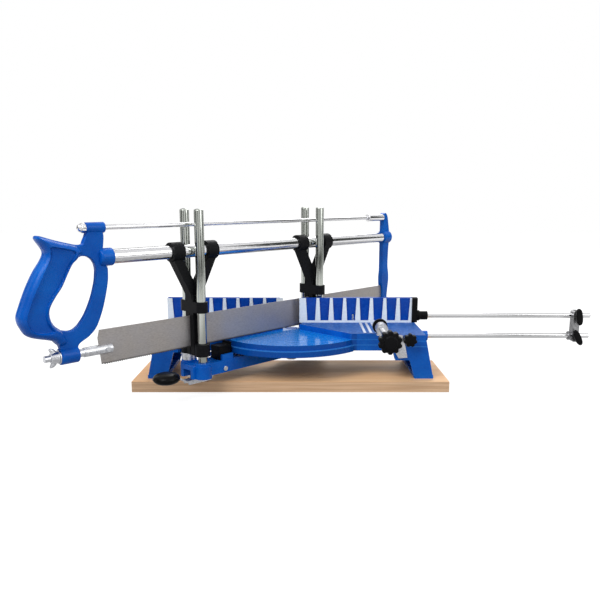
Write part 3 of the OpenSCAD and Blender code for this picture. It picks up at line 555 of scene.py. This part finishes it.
count = dress(["base_board"], board_wood, 0.7)
count += dress(["base_casting"], base_enamel, 0.9)
count += dress(["fence_left", "fence_right"], ground_fence, 0.3)
count += dress(["swing_arm", "far_arm"], blue_enamel, 1.2)
count += dress(["pivot_bolt"], blue_enamel, 0.4)
count += dress(["front_carriage", "rear_carriage"], black_casting, 0.9)
count += dress(["index_pawl"], moulded_black, 0.6)
count += dress(["rod_set_screws"], moulded_black, 0.3)
count += dress(["fence_end_cap"], moulded_black, 2.2)
count += dress(["blade"], ground_blade, 0.08, 60.0, 1)
count += dress(["board_screws", "fence_screws", "pivot_washer", "pivot_nut",
                "clamp_bracket", "clamp_bolts", "post_bolts", "collar_front", "collar_rear", "lever_pin",
                "index_lever", "blade_holder", "holder_pin", "far_pin", "stud_washer", "frame_screws"],
               bright_zinc, 0.4)
count += dress(["stop_bar"], dull_steel, 0.4)
print("dressed", count, "of", len(parts), "solids")

# %% [markdown]
# ## Turned, lobed and cast pieces
# The solids are exact but plain where a lathe, a mould or a sculptor's hand made the real piece. Those
# pieces are drawn again as grids of points: a formula gives every point of the grid at once, and quads
# join neighbours. Lengths are in millimetres until the last step. Pieces on the swinging arm use `s`
# along the blade (handle end negative), `y` across it and `z` up, and are turned by the 45 degrees at
# which the arm rests.

# %% Grid helpers
slant = math.sqrt(0.5)


def on_arm(s, y, z):
    """Points on the resting arm: s and y turned by 45 degrees about the swing axis, millimetres to metres."""
    s, y, z = np.broadcast_arrays(s, y, z)
    return np.stack(((s - y) * slant, (s + y) * slant, z), axis=-1) / 1000.0


def on_base(x, y, z):
    """Points on the base: plain X, Y and Z, millimetres to metres."""
    return np.stack(np.broadcast_arrays(x, y, z), axis=-1) / 1000.0


def quads(rows, columns, closed_rows, closed_columns):
    """Point numbers of the quads of a grid: each joins a point to the next column, next row and both."""
    row = np.arange(rows if closed_rows else rows - 1)[:, None]
    column = np.arange(columns if closed_columns else columns - 1)[None, :]
    next_row = (row + 1) % rows * columns
    next_column = (column + 1) % columns
    corners = (row * columns + column, row * columns + next_column, next_row + next_column, next_row + column)
    return np.stack(corners, axis=-1).reshape(-1, 4)


def skin(name, sheets, material, body, solids, angle=38.0):
    """One piece from grids (points, closed rows, closed columns): doubles merged, faces turned outward."""
    points = []
    faces = []
    start = 0
    for grid, closed_rows, closed_columns in sheets:
        rows, columns = grid.shape[:2]
        points.append(grid.reshape(-1, 3))
        faces.append(quads(rows, columns, closed_rows, closed_columns) + start)
        start += rows * columns
    mesh = bpy.data.meshes.new(name)
    mesh.from_pydata(np.concatenate(points).tolist(), [], np.concatenate(faces).tolist())
    work = bmesh.new()
    work.from_mesh(mesh)
    bmesh.ops.remove_doubles(work, verts=work.verts, dist=2e-6)
    bmesh.ops.recalc_face_normals(work, faces=work.faces)
    work.to_mesh(mesh)
    work.free()
    mesh.polygons.foreach_set("use_smooth", np.ones(len(mesh.polygons), bool))
    mesh.set_sharp_from_angle(angle=math.radians(angle))
    mesh.materials.append(material)
    piece = bpy.data.objects.new(name, mesh)
    scene.collection.objects.link(piece)
    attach(piece, body)
    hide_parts(*solids)
    print(name, len(mesh.polygons), "faces, rides on", body)


def eased(line, reach, steps=6):
    """A line with rounded corners: each inner point becomes a parabola that starts and ends `reach` away."""
    line = np.asarray(line, float)
    corner = line[1:-1]
    sides = [other - corner for other in (line[:-2], line[2:])]
    lengths = [np.maximum(np.linalg.norm(side, axis=1, keepdims=True), 1e-9) for side in sides]
    first, last = [corner + side * np.minimum(reach / length, 0.48) for side, length in zip(sides, lengths)]
    t = np.linspace(0.0, 1.0, steps)[None, :, None]
    curve = (1 - t) ** 2 * first[:, None] + 2 * t * (1 - t) * corner[:, None] + t ** 2 * last[:, None]
    return np.concatenate((line[:1], curve.reshape(-1, 2), line[-1:]))


def turned(profile, around=40):
    """A lathe form: profile points (along, radius) taken round a circle; returns along, sideways, upward."""
    turn = np.linspace(0.0, 2 * np.pi, around, endpoint=False)[None, :]
    along = np.repeat(profile[:, :1], around, axis=1)
    return along, profile[:, 1:] * np.cos(turn), profile[:, 1:] * np.sin(turn)


# %% [markdown]
# ### Posts
# Each post is drawn bar, cut to length and turned to a low dome on top, so that no edge can cut the
# hand that lifts the saw off. A bevelled cylinder would come close, but the dome is half an ellipse, and
# a profile from the seat to the crown, taken once round, gives it exactly.

# %% Posts
post_foot, post_top, post_r, crown = 36.0, 266.0, 6.5, 2.6
shoulder = post_top - crown
lift = np.linspace(0.1, 1.0, 9) * np.pi / 2
post_line = np.concatenate((eased([(post_foot, 0.0), (post_foot, post_r), (shoulder, post_r)], 0.8),
                            np.stack((shoulder + crown * np.sin(lift), post_r * np.cos(lift)), axis=-1)))
along, side, up = turned(post_line)
for place, s, y in (("front_near", -188.0, -16.5), ("front_far", -188.0, 16.5),
                    ("rear_near", 48.0, -16.5), ("rear_far", 48.0, 16.5)):
    skin(f"polished_post_{place}", [(on_arm(s + side, y + up, along), False, True)], post_chrome, "arm",
         [f"post_{place}"])

# %% [markdown]
# ### Tube and rods
# The frame tube is a drawn tube with its ends rolled in, so its profile is a closed ring. The tension
# rod and the two stop rods are solid bars with a turned end. Cylinders with a Bevel and a bored hole
# would do, but a profile gives the bore and the rounded ends in one go.

# %% Tube and rods
tube_z, rod_z = 209.0, 245.0
stop_rod_y, upper_z, lower_z = 5.0, 93.0, 59.5
tube_line = eased([(-322.0, 8.2), (-322.0, 9.0), (245.0, 9.0), (245.0, 7.5), (-322.0, 7.5),
                   (-322.0, 8.2)], 0.5)[:-1]
along, side, up = turned(tube_line, 56)
skin("frame_tube", [(on_arm(along, side, tube_z + up), True, True)], frame_chrome, "saw", ["saw_tube"])
rod_line = eased([(-344.0, 0.0), (-344.0, 3.0), (230.0, 3.0), (230.0, 0.0)], 0.5)
along, side, up = turned(rod_line)
skin("tension_bar", [(on_arm(along, side, rod_z + up), False, True)], frame_chrome, "saw", ["tension_rod"])
for place, first, z in (("upper", 196.0, upper_z), ("lower", 199.0, lower_z)):
    stop_line = eased([(first, 0.0), (first, 4.0), (483.0, 4.0), (484.0, 3.1), (484.0, 0.0)], 0.7)
    along, side, up = turned(stop_line)
    skin(f"drawn_stop_rod_{place}", [(on_base(along, stop_rod_y + side, z + up), False, True)], rod_chrome,
         "base", [f"{place}_stop_rod"])

# %% [markdown]
# ### Nuts of the tension rod
# A long round sleeve nut ties the rod to the far arm. At the handle the rod ends in a cap nut: six
# flats, then a dome. Its radius goes from the circle of the dome to the hexagon, where the flats are R
# cos 30 / cos a away.

# %% Sleeve nut and cap nut
sleeve_line = eased([(230.0, 0.0), (230.0, 3.05), (190.0, 3.05), (190.0, 6.25), (231.5, 6.25),
                     (231.5, 0.0)], 0.9)
along, side, up = turned(sleeve_line)
skin("long_sleeve_nut", [(on_arm(along, side, rod_z + up), False, True)], frame_chrome, "saw",
     ["rod_sleeve_nut"])
turn = np.linspace(0.0, 2 * np.pi, 60, endpoint=False)[None, :]
flat = np.cos(np.pi / 6) / np.cos((turn + np.pi / 6) % (np.pi / 3) - np.pi / 6)
dome = np.linspace(0.0, 1.0, 10)[:, None] * np.pi / 2
dome_s = np.concatenate((-346.0 - 5.0 * np.cos(dome), [[-346.0], [-345.4], [-341.6], [-341.0], [-341.0],
                                                     [-344.0], [-344.0]]))
round_r = np.ones_like(turn)
dome_r = np.concatenate((5.0 * np.sin(dome) * round_r, 5.3 * round_r, 6.0 * flat, 6.0 * flat, 5.3 * round_r,
                         3.05 * round_r, 3.05 * round_r, 0.0 * round_r))
cap_grid = on_arm(dome_s * round_r, dome_r * np.cos(turn), rod_z + dome_r * np.sin(turn))
skin("cap_nut", [(cap_grid, False, True)], frame_chrome, "saw", ["rod_dome_nut"])

# %% [markdown]
# ### Handle
# The handle is one casting: a thin loop that joins the tube and the blade stud, and a thick grip with a
# sunk panel on each side. It could be carved by subdividing a box, but then its outline would wander.
# Here a grid is stretched between an outer and an inner outline drawn from paired points, so its edges
# are exact. The grip and its panel have an outline each, which the next step uses for the thickness.

# %% Outlines of the handle
def through(points, per):
    """A smooth closed line through points (Catmull-Rom): each span is a cubic of its four nearest points."""
    p = np.asarray(points, float)
    a, b, c, d = (np.roll(p, k, axis=0)[:, None] for k in (1, 0, -1, -2))
    t = np.linspace(0.0, 1.0, per, endpoint=False)[None, :, None]
    line = b + 0.5 * ((c - a) * t + (2 * a - 5 * b + 4 * c - d) * t ** 2 + (3 * b - a - 3 * c + d) * t ** 3)
    return line.reshape(-1, p.shape[1])


loop_pairs = np.array([
    (-400.6, 23.8, -362, -6), (-401, 27.4, -360, -4), (-397.6, 29, -358, -2), (-377, 22.5, -354, 1),
    (-350, 16.5, -349.5, 3), (-343.8, 23, -346, 3), (-336.6, 36.5, -342.5, 2.4), (-324, 36.5, -338.5, 0.3),
    (-319.5, 28, -335.5, -2.5), (-321, 11, -333, -6.5), (-322.6, 0, -332.2, -9.5),
    (-321.5, -8.5, -331.7, -12.5), (-316.5, -12, -331.5, -16), (-316, -20, -332, -21),
    (-317, -31, -333.7, -31), (-321.5, -50, -339.5, -49), (-327, -67, -347.8, -66),
    (-335, -84, -356, -77), (-345, -94, -361, -81.3), (-359, -102.5, -365.5, -83.7),
    (-362.5, -114, -369, -84.3), (-378, -116, -373.5, -83.8), (-383.5, -100.5, -379, -82),
    (-391, -93, -385, -77.8), (-416, -85, -389.5, -71.5), (-424.5, -75, -391.8, -66),
    (-428, -62, -392.5, -60.5), (-422.5, -46, -391, -52.5), (-414.5, -28, -383.5, -41.5),
    (-405, -11, -375, -30.5), (-395.8, 2, -368.5, -17.5), (-393, 11, -365, -11.5)])
grip_points = [
    (-400.6, 23.8), (-401, 27.4), (-397.6, 29), (-377, 22.5), (-358, 17), (-349, 10), (-355, 0),
    (-361.5, -6), (-368, -17), (-375.5, -31), (-384, -42), (-391, -53), (-392.5, -62), (-389, -73.5),
    (-380, -82), (-374, -97), (-385, -99.5), (-392, -93), (-416, -85), (-424.5, -75), (-428, -62),
    (-422.5, -46), (-414.5, -28), (-405, -11), (-395.8, 2), (-393, 11)]
panel_points = [
    (-388.5, 16.5), (-374, 14.5), (-359.5, 9.5), (-363, -2), (-370.5, -14), (-377.5, -26),
    (-387, -38.5), (-396, -51), (-398.5, -61), (-396.5, -71), (-391, -81), (-402, -82.5),
    (-413.5, -79.5), (-419.5, -72), (-421.5, -62), (-416.5, -47.5), (-408.5, -30.5), (-399.5, -13.5),
    (-391, 1.5), (-389, 10)]
print("handle outlines:", len(loop_pairs), "pairs")

# %% [markdown]
# ### Thickness of the handle
# The thickness could be sculpted by hand, but a formula keeps both sides alike. It follows from how deep
# a point lies inside an outline, which is its distance to the nearest side: the web is flat with a small
# round at its edge, the grip swells like an ellipse over its first millimetres, and the panel sinks back
# along an S-curve. A soft maximum blends web and grip with a fillet. Three turned bosses, for the tube,
# the rod and the stud, are joined on.

# %% Thickness of the handle
def depth_inside(points, outline):
    """Depth of points inside a closed outline: least distance to its sides, negative outside."""
    p = points.reshape(-1, 1, 2)
    a = outline[None]
    side = np.roll(outline, -1, axis=0)[None] - a
    share = np.clip(((p - a) * side).sum(axis=-1) / (side ** 2).sum(axis=-1), 0.0, 1.0)
    gap = np.linalg.norm(p - a - share[..., None] * side, axis=-1).min(axis=1)
    rise = np.where(np.abs(side[..., 1]) < 1e-9, 1e-9, side[..., 1])
    reach = (p[..., 1] - a[..., 1]) / rise
    crossed = (reach >= 0) & (reach < 1) & (p[..., 0] < a[..., 0] + reach * side[..., 0])
    inside = crossed.sum(axis=1) % 2 == 1
    return np.where(inside, gap, -gap).reshape(points.shape[:-1])


loop_line = through(loop_pairs, 12)
t = np.linspace(0.0, 1.0, 73)
across = (0.55 * t + 0.45 * (0.5 - 0.5 * np.cos(np.pi * t)))[None, :, None]
plan = loop_line[:, None, :2] * (1 - across) + loop_line[:, None, 2:] * across
edge = np.minimum(np.linalg.norm(plan - plan[:, :1], axis=-1), np.linalg.norm(plan - plan[:, -1:], axis=-1))
web_half, web_round = 2.4, 1.6
grip_half, grip_round = 14.0, 8.0
panel_sink, panel_wall = 3.6, 1.5
fillet = 1.2
web = web_half + np.sqrt(web_round ** 2 - (web_round - np.minimum(edge, web_round)) ** 2)
grip_depth = np.clip(depth_inside(plan, through(grip_points, 6)), 0.0, grip_round)
grip = grip_half * np.sqrt(1 - (1 - grip_depth / grip_round) ** 2)
sunk = np.clip(depth_inside(plan, through(panel_points, 6)) / panel_wall, 0.0, 1.0)
grip = grip - panel_sink * sunk ** 2 * (3 - 2 * sunk)
thick = 0.5 * (web + grip + np.sqrt((web - grip) ** 2 + fillet))
print("handle: up to", round(2 * float(thick.max()), 1), "mm thick")

# %% Bosses and skin of the handle
ring = np.concatenate((plan, plan[:, ::-1]), axis=1)
ring_y = np.concatenate((-thick, thick[:, ::-1]), axis=1)
stud_z = 95.0
tube_boss = eased([(-326.5, 0.0), (-326.5, 11.0), (-309.0, 11.0), (-309.0, 9.05), (-321.9, 9.05),
                   (-321.9, 0.0)], np.array([[3.5], [0.8], [0.3], [0.3]]))
top_boss = eased([(-341.0, 5.0), (-341.0, 6.5), (-317.0, 6.5), (-317.0, 3.05), (-341.0, 3.05),
                  (-341.0, 5.0)], 0.9)[:-1]
low_boss = eased([(-383.0, 7.0), (-383.0, 10.0), (-360.5, 10.0), (-360.5, 4.05), (-383.0, 4.05),
                  (-383.0, 7.0)], 1.5)[:-1]
sheets = [(on_arm(ring[..., 0], ring_y, tube_z + ring[..., 1]), True, True)]
for boss, z, closed in ((tube_boss, tube_z, False), (top_boss, rod_z, True), (low_boss, stud_z, True)):
    along, side, up = turned(boss, 48)
    sheets.append((on_arm(along, side, z + up), closed, True))
skin("cast_handle", sheets, blue_enamel, "saw", ["saw_handle"])

# %% [markdown]
# ### Clamp spindle and foot
# The spindle has a coarse double thread, so that one turn moves the foot four millimetres. A Screw
# modifier could carry a tooth along a helix, but its ends would stay open. Here the thread is a ridge in
# the radius: it depends on how far along a point is and how far round, so the crest climbs as a
# right-hand helix and can fade out. The foot is a moulded button that sits loose on the spindle's end.

# %% Spindle and foot
front_y = -93.97
clamp_x, clamp_z = 132.0, 94.0
lead, starts = 4.0, 2
crest_r, thread_depth, end_r = 3.98, 0.62, 3.3
knob_y = front_y - 100.0
tip_y = front_y + 7.0
length = np.linspace(front_y - 99.2, front_y + 6.2, 430)[:, None]
turn = np.linspace(0.0, 2 * np.pi, 32, endpoint=False)[None, :]
ridge = 0.5 + 0.5 * np.cos(starts * (2 * np.pi * length / lead - turn))
fade = np.clip((front_y + 4.0 - length) / 2.0, 0.0, 1.0) * np.clip((length - front_y + 86.0) / 2.0, 0.0, 1.0)
radius = crest_r - thread_depth * fade * (1 - ridge ** 0.7)
length = np.concatenate(([[knob_y], [knob_y]], length, [[tip_y], [tip_y]]))
radius = np.concatenate((0.0 * turn, end_r + 0.0 * turn, radius, end_r + 0.0 * turn, 0.0 * turn))
spindle = on_base(clamp_x + radius * np.sin(turn), length, clamp_z + radius * np.cos(turn))
skin("threaded_spindle", [(spindle, False, True)], bright_zinc, "screw", ["clamp_screw"], 60.0)
foot_y = front_y + 10.0
foot_line = eased([(foot_y - 3.0, 0.0), (foot_y - 3.0, 4.05), (foot_y - 8.0, 4.05), (foot_y - 8.0, 7.0),
                   (foot_y - 4.0, 7.0), (foot_y - 4.0, 11.0), (foot_y, 11.0), (foot_y, 0.0)], 1.1)
along, side, up = turned(foot_line, 48)
skin("pressure_foot", [(on_base(clamp_x + side, along, clamp_z + up), False, True)], moulded_black, "foot",
     ["clamp_foot"])

# %% [markdown]
# ### Lobed knobs
# Both knobs are mouldings with finger hollows round the rim. Cylinders could be cut out of a disc, but
# that leaves sharp edges. Instead the radius is a turned profile less a wave that has one hollow per
# lobe, and the wave fades out where the profile leaves the rim, so face and hub stay round.

# %% Knobs
def lobed(profile, hollow, lobes, around=160):
    """A turned profile (along, radius, share of the hollows) less a wave that has one hollow per lobe."""
    turn = np.linspace(0.0, 2 * np.pi, around, endpoint=False)[None, :]
    wave = (0.5 - 0.5 * np.cos(lobes * turn)) ** 1.6
    radius = profile[:, 1:2] - hollow * profile[:, 2:3] * wave
    return np.repeat(profile[:, :1], around, axis=1), radius * np.sin(turn), radius * np.cos(turn)


def with_share(line, low, high):
    """Adds the third column to a profile: 1 where the radius is above high, 0 below low, straight between."""
    return np.c_[line, np.clip((line[:, 1] - low) / (high - low), 0.0, 1.0)]


knob_line = eased([(knob_y - 6.0, 0.0), (knob_y - 6.0, 8.5), (knob_y - 4.0, 9.5), (knob_y - 3.5, 16.0),
                   (knob_y + 9.5, 16.0), (knob_y + 10.5, 9.0), (knob_y + 14.0, 7.5), (knob_y + 14.0, 4.05),
                   (knob_y, 4.05), (knob_y, 0.0)],
                  np.array([[1.2], [1.5], [2.6], [2.6], [1.5], [0.8], [0.3], [0.3]]))
along, side, up = lobed(with_share(knob_line, 8.5, 14.0), 2.3, 10, 200)
skin("lobed_clamp_knob", [(on_base(clamp_x + side, along, clamp_z + up), False, True)], moulded_black,
     "screw", ["clamp_knob"])
lock_x, lock_z = 174.0, 77.0
lock_line = eased([(front_y - 16.0, 0.0), (front_y - 16.0, 10.0), (front_y - 6.0, 10.0), (front_y - 6.0, 5.0),
                   (front_y, 5.0), (front_y, 3.0), (front_y + 12.0, 3.0), (front_y + 12.0, 0.0)],
                  np.array([[2.2], [1.5], [1.2], [0.5], [0.2], [0.6]]))
along, side, up = lobed(with_share(lock_line, 5.5, 8.5), 1.9, 7, 168)
skin("lobed_lock_knob", [(on_base(lock_x + side, along, lock_z + up), False, True)], moulded_black, "lock",
     ["clamp_lock_knob"])

# %% [markdown]
# ### Thumb screws of the length stop
# Their heads are flat ovals that two fingers can turn. A ball squeezed flat would be too pointed at its
# ends, so across the axis the head is a superellipse, a curve between an ellipse and a box:
# |x/a|^n + |y/b|^n = 1 with n = 2.4. Solved for the radius it mixes with the round stem by a share.

# %% Thumb screws
def oval(profile, long, short, lean, power=2.4, around=72):
    """A profile (along, radius, share, size): round radius mixed by share with size times a tilted oval."""
    turn = np.linspace(0.0, 2 * np.pi, around, endpoint=False)[None, :]
    off = turn - math.radians(lean)
    egg = (np.abs(np.cos(off) / long) ** power + np.abs(np.sin(off) / short) ** power) ** (-1 / power)
    radius = profile[:, 1:2] * (1 - profile[:, 2:3]) + profile[:, 2:3] * profile[:, 3:4] * egg
    return np.repeat(profile[:, :1], around, axis=1), radius * np.cos(turn), radius * np.sin(turn)


bow = np.linspace(0.0, 1.0, 8)[:, None] * np.pi / 2
face = np.c_[-14.0 + 2.0 * (1 - np.cos(bow)), 0 * bow, 0 * bow + 1, 0.72 + 0.28 * np.sin(bow)]
back = np.c_[-8.0 - 1.6 * (1 - np.sin(bow)), 0 * bow, 0 * bow + 1, 0.8 + 0.2 * np.cos(bow)]
stem = np.array([(-8.0, 5.0, 0.0, 1.0), (-2.0, 5.0, 0.0, 1.0), (-2.0, 2.5, 0.0, 1.0), (0.7, 2.5, 0.0, 1.0),
                 (0.7, 0.0, 0.0, 1.0)])
thumb_line = np.concatenate(([(-14.2, 0.0, 1.0, 0.0), (-14.1, 0.0, 1.0, 0.4)], face, back, stem))
stop_x = 460.0
for place, z, lean in (("upper", upper_z, 98.0), ("lower", lower_z, 116.0)):
    along, side, up = oval(thumb_line, 13.5, 5.0, lean)
    skin(f"oval_thumb_screw_{place}", [(on_base(stop_x + side, along, z + up), False, True)], moulded_black,
         f"thumb_{place}", [f"stop_screw_{place}"])

# %% [markdown]
# ### Lever pad
# The pad of the index lever is a smooth black pebble. It is a superellipsoid: height and radius follow
# sine and cosine of one angle, each bent by a power, so that the edge is fuller than a ball's.

# %% Lever pad
pad_s, pad_z = -237.5, 38.0
pad_r, pad_half = 18.6, 8.0
lift = np.linspace(-1.0, 1.0, 33)[:, None] * np.pi / 2
pad_line = np.c_[pad_z + pad_half * np.sign(lift) * np.abs(np.sin(lift)) ** 1.05,
                 pad_r * np.clip(np.cos(lift), 0.0, 1.0) ** 0.75]
along, side, up = turned(pad_line, 64)
skin("pebble_pad", [(on_arm(pad_s + side, up, along), False, True)], moulded_black, "lever", ["lever_pad"])

# %% [markdown]
# ### Wing nut
# A pressed wing nut has a conical hub and two ears that lean away from the saw. The hub is turned. An
# ear could be a bent plate with Solidify, but pressed ears are thicker at the root. So it is a stack of
# ovals from the hub outward: they grow thinner, lean more and more, and close round at the tip.

# %% Wing nut
nut_s = -384.6
hub_line = eased([(nut_s, 5.0), (nut_s, 7.5), (nut_s - 9.4, 5.5), (nut_s - 9.4, 4.05), (nut_s, 4.05),
                  (nut_s, 5.0)], 0.7)[:-1]
along, side, up = turned(hub_line)
sheets = [(on_arm(along, side, stud_z + up), True, True)]
outward = np.linspace(0.0, 1.0, 20)
t = np.concatenate(([0.0], outward))[:, None]
closing = np.concatenate(([0.0], np.sqrt(np.clip(1 - outward ** 5, 0.0, 1.0))))[:, None]
turn = np.linspace(0.0, 2 * np.pi, 28, endpoint=False)[None, :]
middle = nut_s - 4.6 - 4.4 * t ** 1.6
ear_s = middle + closing * (4.1 - 0.4 * t) * np.cos(turn)
ear_y = closing * (1.9 - 0.5 * t) * np.sin(turn)
for way in (-1.0, 1.0):
    ear_z = stud_z + way * (4.4 + 7.5 * t)
    sheets.append((on_arm(ear_s, ear_y, ear_z), False, True))
skin("pressed_wing_nut", sheets, bright_zinc, "tension_nut", ["wing_nut"])

# %% [markdown]
# ### Bush of the upper rod
# A moulded collar with a flange holds the rod at the end of the fence. A disc and a tube could be joined
# for it, but one closed profile taken round has no seam between them.

# %% Rod bush
bush_line = eased([(203.0, 6.0), (203.0, 8.5), (207.0, 8.5), (207.0, 7.0), (220.0, 7.0), (220.0, 4.05),
                   (203.0, 4.05), (203.0, 6.0)], 0.8)[:-1]
along, side, up = turned(bush_line)
skin("flanged_bush", [(on_base(along, stop_rod_y + side, upper_z + up), True, True)], moulded_black, "base",
     ["rod_bush"])
